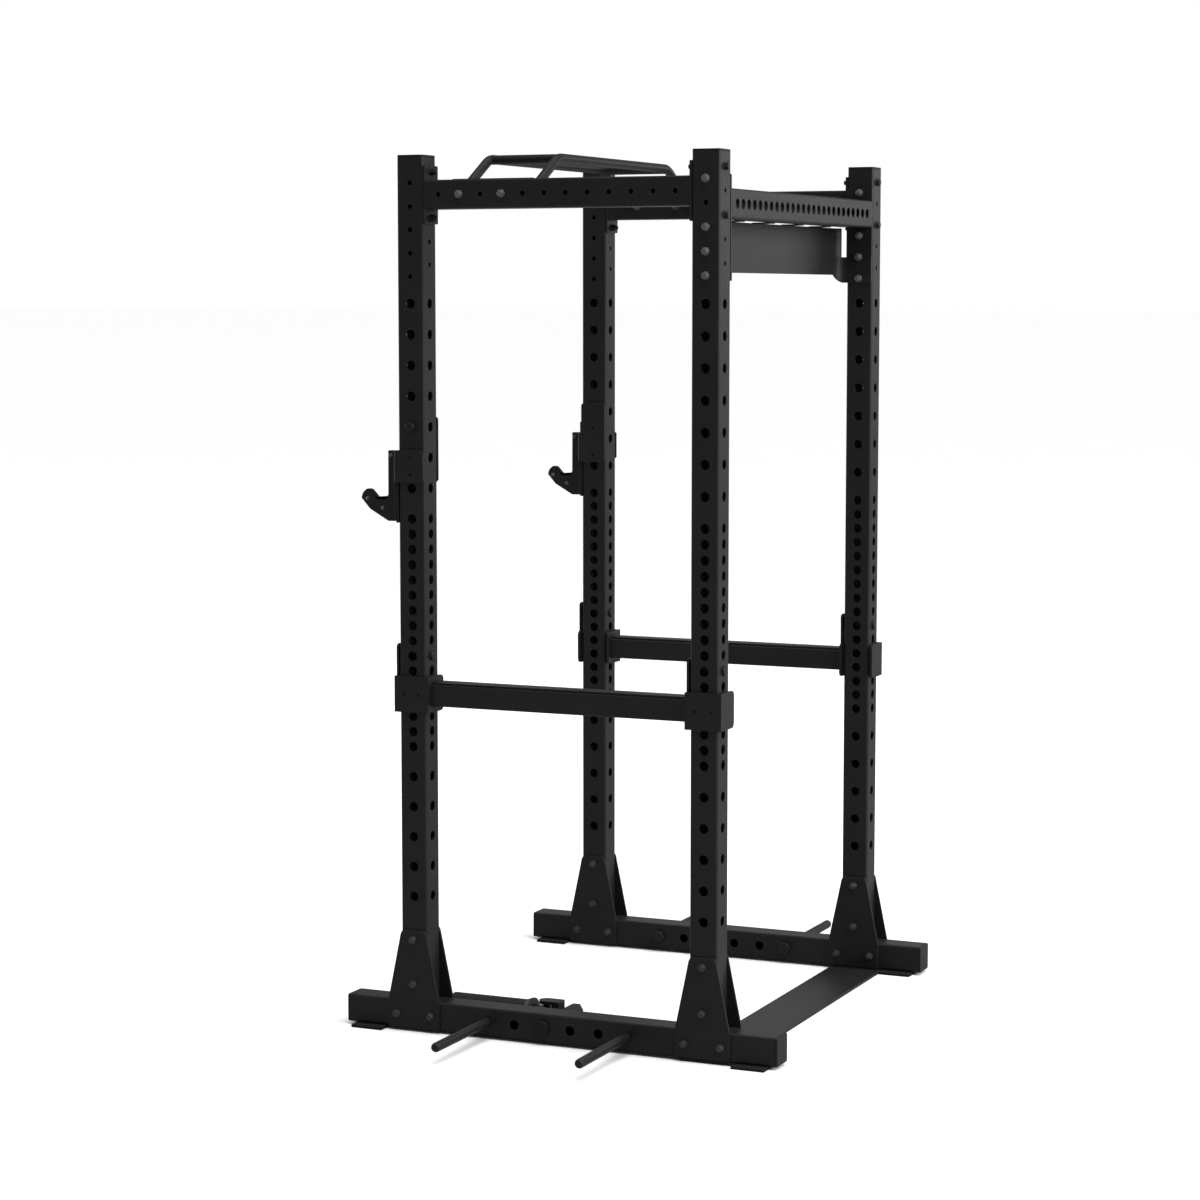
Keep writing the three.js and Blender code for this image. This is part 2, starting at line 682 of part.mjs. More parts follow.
const SAFETY_BEAM_WIDTH = 60;
const SAFETY_BEAM = [872, 930];
const SAFETY_STRIP = 5;
const SAFETY_PLATE = 6;
const SAFETY_BRACKET = [855, 950];
const SAFETY_TALL_TOP = 1034;
const SAFETY_TALL_HALF_WIDTH = 32;
const safetyPlateStart = HALF_TUBE + GAP + PAD_FACE; // from the upright's centre line
const safetyPlateEnd = safetyPlateStart + SAFETY_PLATE;
const safetyBeamHalf = UPRIGHT_Y - safetyPlateEnd;
const safetyBeamMiddle = (SAFETY_BEAM[0] + SAFETY_BEAM[1]) / 2;

function safetyBracket(x, y, sideSign) {
  const outer = [x + sideSign * sidePlateStart, x + sideSign * sidePlateEnd];
  const across = [x - sideSign * (HALF_TUBE + 6), outer[1]];
  const frontFace = [y - safetyPlateEnd, y - safetyPlateStart];
  const rearFace = [y + safetyPlateStart, y + safetyPlateEnd];
  const left = x - SAFETY_TALL_HALF_WIDTH;
  const right = x + SAFETY_TALL_HALF_WIDTH;
  const tall = outline([
    [left, SAFETY_BRACKET[1] - 1],
    [right, SAFETY_BRACKET[1] - 1],
    [right, SAFETY_TALL_TOP - 8],
    [right - 8, SAFETY_TALL_TOP],
    [left + 8, SAFETY_TALL_TOP],
    [left, SAFETY_TALL_TOP - 8],
  ]);
  return [
    boxBetween(outer, [frontFace[0], rearFace[1]], SAFETY_BRACKET),
    boxBetween(across, frontFace, SAFETY_BRACKET),
    boxBetween(across, rearFace, SAFETY_BRACKET),
    plateFacingY(tall, frontFace),
  ];
}

// The beam's underside has two vent holes.
function safetyWeldment(x, sideSign) {
  const tube = squareTube(
    'y',
    -safetyBeamHalf - 2,
    safetyBeamHalf + 2,
    [x, safetyBeamMiddle],
    SAFETY_BEAM_WIDTH,
    SAFETY_BEAM[1] - SAFETY_BEAM[0],
  );
  const vents = [-300, 300].map((y) => holeTool('z', 8, SAFETY_BEAM[0] - 5, SAFETY_BEAM[0] + 10, [x, y]));
  return join([
    cut(tube, vents),
    ...safetyBracket(x, -UPRIGHT_Y, sideSign),
    ...safetyBracket(x, UPRIGHT_Y, sideSign),
  ]);
}

function safetyLiner(x, y, sideSign) {
  const reach = sidePlateStart - GAP;
  const outer = [x + sideSign * (HALF_TUBE + GAP), x + sideSign * reach];
  const across = [x - sideSign * (HALF_TUBE - 3), outer[1]];
  const near = HALF_TUBE + GAP;
  const far = safetyPlateStart - GAP;
  const inset = [SAFETY_BRACKET[0] + 2, SAFETY_BRACKET[1] - 2];
  return join([
    boxBetween(outer, [y - far, y + far], inset),
    boxBetween(across, [y - far, y - near], inset),
    boxBetween(across, [y + near, y + far], inset),
  ]);
}

for (const [side, sign] of SIDES) {
  const x = sign * UPRIGHT_X;
  const stripHalf = SAFETY_BEAM_WIDTH / 2 - 4;
  const stripEnd = safetyBeamHalf - 4;
  addPart(`safety_beam_${side}`, safetyWeldment(x, sign), STEEL);
  addPart(`safety_strip_${side}`, boxBetween(
    [x - stripHalf, x + stripHalf],
    [-stripEnd, stripEnd],
    [SAFETY_BEAM[1] + GAP, SAFETY_BEAM[1] + GAP + SAFETY_STRIP],
  ), PLASTIC);
  for (const [end, endSign] of ENDS) {
    const y = endSign * UPRIGHT_Y;
    const pinEnds = [y - safetyPlateStart + GAP, y + HALF_TUBE + 7];
    addPart(`safety_liner_${end}_${side}`, safetyLiner(x, y, sign), PLASTIC);
    addPart(`safety_pin_${end}_${side}`, prism('y', PIN_RADIUS, ...pinEnds, [x, SAFETY_ROW], ROUND), STEEL);
  }
}

// ---- Band pegs ----------------------------------------------------------------------------
const railInner = UPRIGHT_X - HALF_TUBE;
const railOuter = UPRIGHT_X + HALF_TUBE;
const PEG_HEAD = { radius: 18.5, height: 13 };

for (const [side, sign] of SIDES) {
  for (const [end, endSign] of ENDS) {
    const place = [endSign * PEG_HOLE_Y, RAIL_MIDDLE];
    const headStart = railInner - PEG_HEAD.height;
    addPart(`band_peg_${end}_${side}`, join([
      prism('x', PEG_RADIUS, sign * headStart, sign * PEG_TIP, place, ROUND),
      prism('x', PEG_HEAD.radius, sign * headStart, sign * (railInner - GAP), place, HEXAGON),
    ]), STEEL);
  }
}

// ---- Landmine -----------------------------------------------------------------------------
// An axle is clamped in the right rail. A barrel turns on it and carries a yoke; the sleeve
// that takes the end of a bar swings in the yoke on an upright pin.

const AXLE_RADIUS = 12.5;
const AXLE_HEAD = { radius: 21, height: 10 };
const AXLE_NUT = { radius: 19, height: 12 };
const axleEnd = BARREL_X[0] - GAP - AXLE_NUT.height;
const axlePlace = [BARREL_Y, RAIL_MIDDLE];

addPart('landmine_axle', join([
  prism('x', AXLE_HEAD.radius, railOuter + GAP, railOuter + AXLE_HEAD.height, axlePlace, ROUND),
  prism('x', AXLE_RADIUS, railOuter + 3, axleEnd, axlePlace, ROUND),
  prism('x', AXLE_NUT.radius, axleEnd, BARREL_X[0] - GAP, axlePlace, HEXAGON),
]), STEEL);

const YOKE_HALF_HEIGHT = 35;
const YOKE_PLATE = 10;
const YOKE_HALF_WIDTH = 20;
const YOKE_WALL = [-78, -57];
const SWIVEL_RADIUS = 9;
const TONGUE_HALF_HEIGHT = 15;
const TONGUE_RADIUS = 18;
const swivelPlace = [SLEEVE_X, SWIVEL_Y];

function yokePlate(low) {
  const shape = new THREE.Shape();
  shape.moveTo(SLEEVE_X + YOKE_HALF_WIDTH, YOKE_WALL[1]);
  shape.lineTo(SLEEVE_X - YOKE_HALF_WIDTH, YOKE_WALL[1]);
  shape.lineTo(SLEEVE_X - YOKE_HALF_WIDTH, SWIVEL_Y);
  shape.absarc(SLEEVE_X, SWIVEL_Y, YOKE_HALF_WIDTH, Math.PI, Math.PI * 2);
  return extrude(shape, YOKE_PLATE, 8).translate(0, 0, RAIL_MIDDLE + low);
}

function yoke() {
  const wall = boxBetween(
    [SLEEVE_X - YOKE_HALF_WIDTH, SLEEVE_X + YOKE_HALF_WIDTH],
    YOKE_WALL,
    [RAIL_MIDDLE - YOKE_HALF_HEIGHT, RAIL_MIDDLE + YOKE_HALF_HEIGHT],
  );
  const barrel = prism('x', BARREL_RADIUS, ...BARREL_X, axlePlace, 16);
  const bore = holeTool('x', 2 * AXLE_RADIUS + 0.8, BARREL_X[0] - 5, BARREL_X[1] + 5, axlePlace, ROUND);
  const eye = holeTool('z', 2 * SWIVEL_RADIUS + 0.8, 0, 120, swivelPlace, ROUND);
  return cut(join([
    yokePlate(-YOKE_HALF_HEIGHT),
    yokePlate(YOKE_HALF_HEIGHT - YOKE_PLATE),
    wall,
    barrel,
  ]), [bore, eye]);
}

addPart('landmine_yoke', yoke(), STEEL);

addPart('landmine_swivel_pin', prism(
  'z',
  SWIVEL_RADIUS,
  RAIL_MIDDLE - YOKE_HALF_HEIGHT,
  RAIL_MIDDLE + YOKE_HALF_HEIGHT,
  swivelPlace,
  ROUND,
), BOLT_STEEL);

function sleeve() {
  const place = [SLEEVE_X, RAIL_MIDDLE];
  const tube = prism('y', SLEEVE_RADIUS, SLEEVE_TIP, COLLAR[0] + 2, place, 16);
  const collar = prism('y', COLLAR_RADIUS, COLLAR[0], COLLAR[1], place, 16);
  const bore = prism('y', SLEEVE_BORE / 2, SLEEVE_TIP - 5, COLLAR[0] - 2, place, 16);
  const tongue = boxBetween(
    [SLEEVE_X - TONGUE_RADIUS, SLEEVE_X + TONGUE_RADIUS],
    [COLLAR[1] - 2, SWIVEL_Y],
    [RAIL_MIDDLE - TONGUE_HALF_HEIGHT, RAIL_MIDDLE + TONGUE_HALF_HEIGHT],
  );
  const boss = prism(
    'z',
    TONGUE_RADIUS,
    RAIL_MIDDLE - TONGUE_HALF_HEIGHT,
    RAIL_MIDDLE + TONGUE_HALF_HEIGHT,
    swivelPlace,
    16,
  );
  const eye = holeTool('z', 2 * SWIVEL_RADIUS + 0.8, 0, 120, swivelPlace, ROUND);
  return cut(join([tube, collar, tongue, boss]), [bore, eye]);
}

addPart('landmine_sleeve', sleeve(), STEEL);

export default cage;
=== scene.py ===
import math

import bmesh
import bpy
from mathutils import Matrix, Vector


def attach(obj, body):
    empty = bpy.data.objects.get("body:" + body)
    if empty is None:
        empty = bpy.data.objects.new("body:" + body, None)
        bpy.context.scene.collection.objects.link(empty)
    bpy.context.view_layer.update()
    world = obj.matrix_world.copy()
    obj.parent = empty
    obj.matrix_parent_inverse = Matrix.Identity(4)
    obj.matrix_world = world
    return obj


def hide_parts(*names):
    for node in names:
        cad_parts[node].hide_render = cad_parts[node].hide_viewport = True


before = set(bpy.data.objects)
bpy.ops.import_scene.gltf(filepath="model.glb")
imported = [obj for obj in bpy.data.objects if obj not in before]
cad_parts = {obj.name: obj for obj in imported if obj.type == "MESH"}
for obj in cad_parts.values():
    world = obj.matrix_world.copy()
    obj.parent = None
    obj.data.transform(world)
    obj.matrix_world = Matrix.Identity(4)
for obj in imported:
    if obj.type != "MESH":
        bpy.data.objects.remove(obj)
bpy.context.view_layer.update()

MM = 0.001
RIGHT_AND_LEFT = (("right", 1), ("left", -1))
FRONT_AND_REAR = (("front", -1), ("rear", 1))

# Sizes and places in millimetres. Heights are above the floor, the rest from the cage's middle.
TUBE = 75.0
WALL = 3.0
CORNER = 6.0
CAP = 6.0
UPRIGHT_X = 584.0
UPRIGHT_Y = 412.0
UPRIGHT_OUTER_X = 621.5
UPRIGHT_OUTER_Y = 449.5
CUT_REACH = 60
RAIL_Z = 45.8
RAIL_TOP = 83.3
RAIL_END = 614
FOOT_BOLT_RISES = (45, 165)
RAIL_BOLT_SPREAD = 50
CAGE_TOP = 2306.0
TOP_ROW = 1923.5
WIDE_PITCH = 80
NARROW_PITCH = 40
HOOK_ROW = 1603.5
SAFETY_ROW = 1003.5
SAFETY_BEAM_Z = 901
BEAM_Z = 2203.5
BEAM_END = 368.2
BEAM_BOLT_RISE = 60
CROSS_Z = 2173.5
PIN_HOLE_RADIUS = 13.0
PIN_RADIUS = 12.5
BOLT_HOLE_RADIUS = 6.5
DIMPLE_RADIUS = 4.5
DIMPLE_DEPTH = 4
PLATE_INNER = 540.2
PLATE_OUTER = 546.2
GUSSET_OUTER = 627.8
BRACKET_FACE = 45.5
BRACKET_END = 49.8
BRACKET_LIP = 43.8
BRACKET_LOW = 855
BRACKET_HIGH = 950
BRACKET_ROUNDING = 14
HOOK_HALF_WIDTH = 12
HOOK_CHEEK = 4
HOOK_LOW = 1355
HOOK_HIGH = 1540
HOOK_BACK = -457
HOOK_STRIP_FRONT = -493
HOOK_SEAT = 1411
HOOK_LIP_TOP = 1435.5
PULL_UP_YS = (-304, -106)
PULL_UP_BOLT_YS = (-270, -150)
SWIVEL_HOLE_RADIUS = 9.4
WEAR_WIDTH = 2.2


# ---- Materials ----

def node_material(name, color, roughness, metallic=0.0, gloss=0.5):
    material = bpy.data.materials.new(name)
    material.use_nodes = True
    tree = material.node_tree
    shader = tree.nodes["Principled BSDF"]
    shader.inputs["Metallic"].default_value = metallic
    shader.inputs["Roughness"].default_value = roughness
    shader.inputs["Specular IOR Level"].default_value = gloss
    shader.inputs["Base Color"].default_value = (*color, 1.0)
    coords = tree.nodes.new("ShaderNodeTexCoord")
    return material, tree, shader, coords.outputs["Object"]


def noise(tree, vector, scale, detail=3.0, roughness=0.55):
    node = tree.nodes.new("ShaderNodeTexNoise")
    node.inputs["Scale"].default_value = scale
    node.inputs["Detail"].default_value = detail
    node.inputs["Roughness"].default_value = roughness
    tree.links.new(vector, node.inputs["Vector"])
    return node.outputs["Fac"]


def remap(tree, value, low, high, out_low, out_high):
    node = tree.nodes.new("ShaderNodeMapRange")
    node.inputs["From Min"].default_value = low
    node.inputs["From Max"].default_value = high
    node.inputs["To Min"].default_value = out_low
    node.inputs["To Max"].default_value = out_high
    tree.links.new(value, node.inputs["Value"])
    return node.outputs["Result"]


def mix_colors(tree, factor, first, second):
    node = tree.nodes.new("ShaderNodeMix")
    node.data_type = "RGBA"
    tree.links.new(factor, node.inputs["Factor"])
    for socket, value in ((node.inputs[6], first), (node.inputs[7], second)):
        if isinstance(value, tuple):
            socket.default_value = (*value, 1.0)
        else:
            tree.links.new(value, socket)
    return node.outputs[2]


def bump(tree, shader, height, strength, distance):
    node = tree.nodes.new("ShaderNodeBump")
    node.inputs["Strength"].default_value = strength
    node.inputs["Distance"].default_value = distance
    tree.links.new(height, node.inputs["Height"])
    tree.links.new(node.outputs["Normal"], shader.inputs["Normal"])


def edge_mask(tree, radius):
    """1 along sharp edges, 0 on flat faces."""
    bevel = tree.nodes.new("ShaderNodeBevel")
    bevel.samples = 4
    bevel.inputs["Radius"].default_value = radius
    geometry = tree.nodes.new("ShaderNodeNewGeometry")
    dot = tree.nodes.new("ShaderNodeVectorMath")
    dot.operation = "DOT_PRODUCT"
    tree.links.new(bevel.outputs["Normal"], dot.inputs[0])
    tree.links.new(geometry.outputs["Normal"], dot.inputs[1])
    return remap(tree, dot.outputs["Value"], 0.995, 0.88, 0.0, 1.0)


def textured(name, dark, light, worn, roughness, grain, grain_depth, metallic=0.0, wear=0.5,
             gloss=0.5):
    """A surface with cloudy colour, worn edges, uneven gloss and a fine grain."""
    material, tree, shader, place = node_material(name, dark, roughness[0], metallic, gloss)
    clouds = noise(tree, place, 7.0, 5.0)
    specks = noise(tree, place, grain * 0.6, 2.0)
    blend = remap(tree, clouds, 0.35, 0.7, 0.0, 1.0)
    color = mix_colors(tree, blend, dark, light)
    patchy = remap(tree, noise(tree, place, 60.0, 4.0), 0.42, 0.62, 0.0, wear)
    edges = tree.nodes.new("ShaderNodeMath")
    edges.operation = "MULTIPLY"
    tree.links.new(edge_mask(tree, WEAR_WIDTH * MM), edges.inputs[0])
    tree.links.new(patchy, edges.inputs[1])
    color = mix_colors(tree, edges.outputs["Value"], color, worn)
    tree.links.new(color, shader.inputs["Base Color"])
    tree.links.new(remap(tree, specks, 0.3, 0.7, *roughness), shader.inputs["Roughness"])
    bump(tree, shader, noise(tree, place, grain, 2.0), 0.55, grain_depth)
    return material


COAT = textured("powder_coat", (0.0075, 0.0075, 0.0078), (0.0105, 0.0105, 0.0108),
                (0.05, 0.05, 0.051), (0.40, 0.55), 620.0, 0.0002, wear=0.5, gloss=0.26)
PLASTIC = textured("moulded_plastic", (0.0055, 0.0055, 0.006), (0.008, 0.008, 0.0085),
                   (0.018, 0.018, 0.018), (0.45, 0.58), 1100.0, 0.0001, wear=0.4, gloss=0.22)
RUBBER = textured("foot_rubber", (0.006, 0.006, 0.006), (0.011, 0.0105, 0.010),
                  (0.025, 0.025, 0.024), (0.72, 0.88), 420.0, 0.0003, wear=0.4, gloss=0.2)
STEEL = textured("zinc_plate", (0.12, 0.12, 0.125), (0.16, 0.16, 0.162), (0.3, 0.3, 0.3),
                 (0.34, 0.46), 900.0, 0.00006, metallic=0.6)
BOLT = textured("black_zinc_bolt", (0.035, 0.036, 0.038), (0.055, 0.056, 0.058), (0.16, 0.16, 0.16),
                (0.34, 0.46), 900.0, 0.00008, metallic=0.5)
DARK_BOLT = textured("dark_bolt", (0.010, 0.010, 0.011), (0.016, 0.016, 0.017), (0.06, 0.06, 0.06),
                     (0.40, 0.52), 900.0, 0.00008, metallic=0.2, gloss=0.25)
SLOTS = {
    "black_coat": COAT,
    "black_plastic": PLASTIC,
    "foot_rubber": RUBBER,
    "plain_steel": STEEL,
}


# ---- Mesh helpers, in millimetres ----

def at(axis, along, u, v):
    place = {"x": (along, u, v), "y": (u, along, v), "z": (u, v, along)}[axis]
    return Vector(place) * MM


def loft(bm, rings, cyclic=False):
    """Joins rings of points with quads, and closes the ends unless the rings meet."""
    loops = [[bm.verts.new(point) for point in ring] for ring in rings]
    pairs = list(zip(loops, loops[1:]))
    if cyclic:
        pairs.append((loops[-1], loops[0]))
    for low, high in pairs:
        count = len(low)
        for i in range(count):
            bm.faces.new((low[i], low[(i + 1) % count], high[(i + 1) % count], high[i]))
    if not cyclic:
        ends = [bm.faces.new(loops[0]), bm.faces.new(loops[-1])]
        bmesh.ops.triangulate(bm, faces=ends, ngon_method="EAR_CLIP")


def circle(axis, along, center, radius, count):
    u, v = center
    turns = [2 * math.pi * (i + 0.5) / count for i in range(count)]
    return [at(axis, along, u + radius * math.cos(t), v + radius * math.sin(t)) for t in turns]


def lathe(bm, axis, center, profile, count=40):
    """A solid of revolution from (along, radius) pairs."""
    loft(bm, [circle(axis, along, center, radius, count) for along, radius in profile])


def rod(bm, axis, center, start, end, radius, edge=1.0, count=40):
    """A rod with rounded ends."""
    way = math.copysign(1, end - start)
    lathe(bm, axis, center, [
        (start, radius - edge),
        (start + way * edge * 0.3, radius - edge * 0.3),
        (start + way * edge, radius),
        (end - way * edge, radius),
        (end - way * edge * 0.3, radius - edge * 0.3),
        (end, radius - edge),
    ], count)


def rounded(center, width, height, radius, steps=4):
    """The corners of a rounded rectangle, as (u, v)."""
    points = []
    for corner, (su, sv) in enumerate(((1, 1), (-1, 1), (-1, -1), (1, -1))):
        cu = center[0] + su * (width / 2 - radius)
        cv = center[1] + sv * (height / 2 - radius)
        for i in range(steps + 1):
            turn = math.pi / 2 * (corner + i / steps)
            points.append((cu + radius * math.cos(turn), cv + radius * math.sin(turn)))
    return points


def tube_into(bm, axis, start, end, center, width=TUBE, height=TUBE, radius=CORNER):
    outer = rounded(center, width, height, radius)
    inner = rounded(center, width - 2 * WALL, height - 2 * WALL, radius - 2.5)
    rings = []
    for points, along in ((outer, start), (outer, end), (inner, end), (inner, start)):
        rings.append([at(axis, along, u, v) for u, v in points])
    loft(bm, rings, cyclic=True)


def slab(bm, axis, points, start, end):
    """A flat plate with an outline of (u, v) points."""
    loft(bm, [[at(axis, along, u, v) for u, v in points] for along in (start, end)])


def block(bm, xs, ys, zs):
    slab(bm, "z", [(xs[0], ys[0]), (xs[1], ys[0]), (xs[1], ys[1]), (xs[0], ys[1])], *zs)


def quadratic(start, control, end, steps=8):
    points = []
    for i in range(1, steps + 1):
        t = i / steps
        points.append(tuple(
            (1 - t) ** 2 * a + 2 * t * (1 - t) * b + t * t * c
            for a, b, c in zip(start, control, end)
        ))
    return points


def as_object(name, bm):
    bmesh.ops.recalc_face_normals(bm, faces=bm.faces)
    mesh = bpy.data.meshes.new(name)
    bm.to_mesh(mesh)
    bm.free()
    piece = bpy.data.objects.new(name, mesh)
    bpy.context.scene.collection.objects.link(piece)
    return piece


def apply_modifiers(piece):
    graph = bpy.context.evaluated_depsgraph_get()
    mesh = bpy.data.meshes.new_from_object(piece.evaluated_get(graph))
    old = piece.data
    piece.modifiers.clear()
    piece.data = mesh
    bpy.data.meshes.remove(old)


def combine(piece, cutters, operation="DIFFERENCE"):
    """Cuts or joins other meshes, one after the other."""
    for bm in cutters:
        tool = as_object("tool", bm)
        modifier = piece.modifiers.new("combine", "BOOLEAN")
        modifier.solver = "MANIFOLD"
        modifier.operation = operation
        modifier.object = tool
        apply_modifiers(piece)
        bpy.data.objects.remove(tool)


def holes(axis, span, places, radius, count=28):
    """A cutter of parallel rods."""
    bm = bmesh.new()
    for center in places:
        lathe(bm, axis, center, [(span[0], radius), (span[1], radius)], count)
    return bm


def soften(piece, width=0.8, segments=2, angle=38):
    modifier = piece.modifiers.new("soften", "BEVEL")
    modifier.width = width * MM
    modifier.segments = segments
    modifier.limit_method = "ANGLE"
    modifier.angle_limit = math.radians(angle)
    modifier.harden_normals = False
    apply_modifiers(piece)


def settle(piece, body, slot, nodes=(), material=None):
    """Gives a piece its finish and its body."""
    piece.data.materials.clear()
    piece.data.materials.append(material or SLOTS[slot])
    piece.data.shade_smooth()
    piece.data.set_sharp_from_angle(angle=math.radians(50))
    modifier = piece.modifiers.new("normals", "WEIGHTED_NORMAL")
    modifier.keep_sharp = True
    modifier.weight = 70
    apply_modifiers(piece)
    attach(piece, body)
    if nodes:
        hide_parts(*nodes)


def refined(node, body, slot, width=1.2, segments=3):
    """A node's own shape with rounded edges."""
    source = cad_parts[node]
    piece = bpy.data.objects.new(node + "_fine", source.data.copy())
    bpy.context.scene.collection.objects.link(piece)
    bm = bmesh.new()
    bm.from_mesh(piece.data)
    bmesh.ops.remove_doubles(bm, verts=bm.verts, dist=0.00001)
    bmesh.ops.dissolve_limit(bm, angle_limit=math.radians(1), verts=bm.verts, edges=bm.edges)
    bm.to_mesh(piece.data)
    bm.free()
    soften(piece, width, segments, 30)
    settle(piece, body, slot, (node,))


# ---- Frame tubes ----

def pin_rows():
    """The heights of the pin holes: wide, then narrow, then wide again."""
    rows = [TOP_ROW - WIDE_PITCH * i for i in range(8)]
    rows += [rows[-1] - NARROW_PITCH * (i + 1) for i in range(15)]
    return rows + [rows[-1] - WIDE_PITCH * (i + 1) for i in range(5)]


CORNERS = [(f"{end}_{side}", sx * UPRIGHT_X, sy * UPRIGHT_Y, sx, sy)
           for end, sy in FRONT_AND_REAR for side, sx in RIGHT_AND_LEFT]

for name, x, y, sx, sy in CORNERS:
    bm = bmesh.new()
    tube_into(bm, "z", RAIL_TOP + 0.3, CAGE_TOP - CAP - 0.3, (x, y))
    piece = as_object(f"upright_{name}_fine", bm)
    high_x = [TOP_ROW + rise for rise in (70, 130, 190, 250, 310)]
    high_y = [TOP_ROW + rise for rise in (100, 160, 220, 280, 340)]
    low = [RAIL_TOP + rise for rise in FOOT_BOLT_RISES]
    combine(piece, [
        holes("x", (x - CUT_REACH, x + CUT_REACH), [(y, z) for z in pin_rows()], PIN_HOLE_RADIUS),
        holes("y", (y - CUT_REACH, y + CUT_REACH), [(x, z) for z in pin_rows()], PIN_HOLE_RADIUS),
        holes("x", (x - CUT_REACH, x + CUT_REACH), [(y, z) for z in high_x + low],
              BOLT_HOLE_RADIUS, 20),
        holes("y", (y - CUT_REACH, y + CUT_REACH), [(x, z) for z in high_y], BOLT_HOLE_RADIUS, 20),
    ])
    soften(piece, 0.7)
    settle(piece, "frame", "black_coat", (f"upright_{name}",))

    bm = bmesh.new()
    rings = []
    for z, inset in ((CAGE_TOP - CAP, 0.6), (CAGE_TOP - CAP + 1, 0), (CAGE_TOP - 1.2, 0),
                     (CAGE_TOP - 0.4, 0.4), (CAGE_TOP, 1.4)):
        outline = rounded((x, y), TUBE - 2 * inset, TUBE - 2 * inset, CORNER - inset * 0.5)
        rings.append([at("z", z, u, v) for u, v in outline])
    loft(bm, rings)
    settle(as_object(f"upright_cap_{name}_fine", bm), "frame", "black_plastic",
           (f"upright_cap_{name}",))

    bm = bmesh.new()
    rings = []
    for depth, inset in ((CAP, 0.6), (CAP - 1, 0), (2.5, 0), (0.7, 0.9), (0, 3.0)):
        outline = rounded((x, RAIL_Z), TUBE - 2 * inset, TUBE - 2 * inset, CORNER - inset * 0.5)
        rings.append([at("y", sy * (RAIL_END - depth), u, v) for u, v in outline])
    loft(bm, rings)
    settle(as_object(f"rail_cap_{name}_fine", bm), "frame", "black_plastic", (f"rail_cap_{name}",))
    refined(f"foot_pad_{name}", "frame", "foot_rubber", 1.8)

for side, sx in RIGHT_AND_LEFT:
    x = sx * UPRIGHT_X
    bm = bmesh.new()
    tube_into(bm, "y", -607.7, 607.7, (x, RAIL_Z))
    piece = as_object(f"base_rail_{side}_fine", bm)
    combine(piece, [
        holes("x", (x - CUT_REACH, x + CUT_REACH),
              [(n * NARROW_PITCH, RAIL_Z) for n in (-5, -3, -1, 1, 3, 5)], PIN_HOLE_RADIUS),
        holes("x", (x - CUT_REACH, x + CUT_REACH),
              [(s * UPRIGHT_Y + d, RAIL_Z)
               for s in (-1, 1) for d in (-RAIL_BOLT_SPREAD, RAIL_BOLT_SPREAD)],
              BOLT_HOLE_RADIUS, 20),
    ])
    soften(piece, 0.7)
    settle(piece, "frame", "black_coat", (f"base_rail_{side}",))

    bm = bmesh.new()
    tube_into(bm, "y", -BEAM_END, BEAM_END, (x, BEAM_Z))
    piece = as_object(f"side_beam_{side}_fine", bm)
    combine(piece, [
        holes("x", (x - CUT_REACH, x + CUT_REACH), [(n * 60 - 330, BEAM_Z) for n in range(12)],
              BOLT_HOLE_RADIUS, 20),
    ])
    plates = bmesh.new()
    for end in (-1, 1):
        outline = rounded((x, BEAM_Z), 75, 150, 4, 3)
        slab(plates, "y", outline, end * 368.2, end * 374.2)
    combine(piece, [plates], "UNION")
    soften(piece, 0.7)
    settle(piece, "frame", "black_coat", (f"side_beam_{side}",))

    for end, sy in FRONT_AND_REAR:
        for face in ("outer", "inner"):
            refined(f"gusset_{end}_{side}_{face}", "frame", "black_coat", 0.9)

bm = bmesh.new()
tube_into(bm, "x", -540.3, 540.3, (UPRIGHT_Y, CROSS_Z))
piece = as_object("rear_crossmember_fine", bm)
combine(piece, [
    holes("y", (UPRIGHT_Y, UPRIGHT_Y + CUT_REACH),
          [(n * NARROW_PITCH - 500, CROSS_Z) for n in range(26)], PIN_HOLE_RADIUS),
])
plates = bmesh.new()
for sx in (-1, 1):
    outline = rounded((UPRIGHT_Y, 2113.5), TUBE, 266, 4, 3)
    slab(plates, "x", outline, sx * PLATE_INNER, sx * PLATE_OUTER)
combine(piece, [plates], "UNION")
soften(piece, 0.7)
settle(piece, "frame", "black_coat", ("rear_crossmember",))
refined("rear_panel", "frame", "black_coat", 0.5, 2)
refined("rear_floor_plate", "frame", "black_coat", 1.0)


# ---- Pull-up frame ----

def pipe(bm, points, radius, count=28):
    """A round bar along points that all have the same Y."""
    rings = []
    for i, point in enumerate(points):
        before = points[max(i - 1, 0)]
        after = points[min(i + 1, len(points) - 1)]
        along = (after - before).normalized()
        side = Vector((0, 1, 0))
        up = along.cross(side)
        ring = []
        for k in range(count):
            turn = 2 * math.pi * k / count
            ring.append((point + (side * math.cos(turn) + up * math.sin(turn)) * radius) * MM)
        rings.append(ring)
    loft(bm, rings)


def pull_up_path(y):
    """Up from one plate, round two bends, across, and down to the other plate."""
    start = Vector((PLATE_INNER + 1, y, BEAM_Z + 2))
    bend = Vector((371, y, 2302.6))
    rise = (bend - start).normalized()
    reach = 24
    first = bend - rise * reach
    last = bend - Vector((reach, 0, 0))
    half = [start, first]
    half += [Vector(p) for p in quadratic(tuple(first), tuple(bend), tuple(last), 10)]
    mirrored = [Vector((-p.x, p.y, p.z)) for p in reversed(half)]
    return half + mirrored


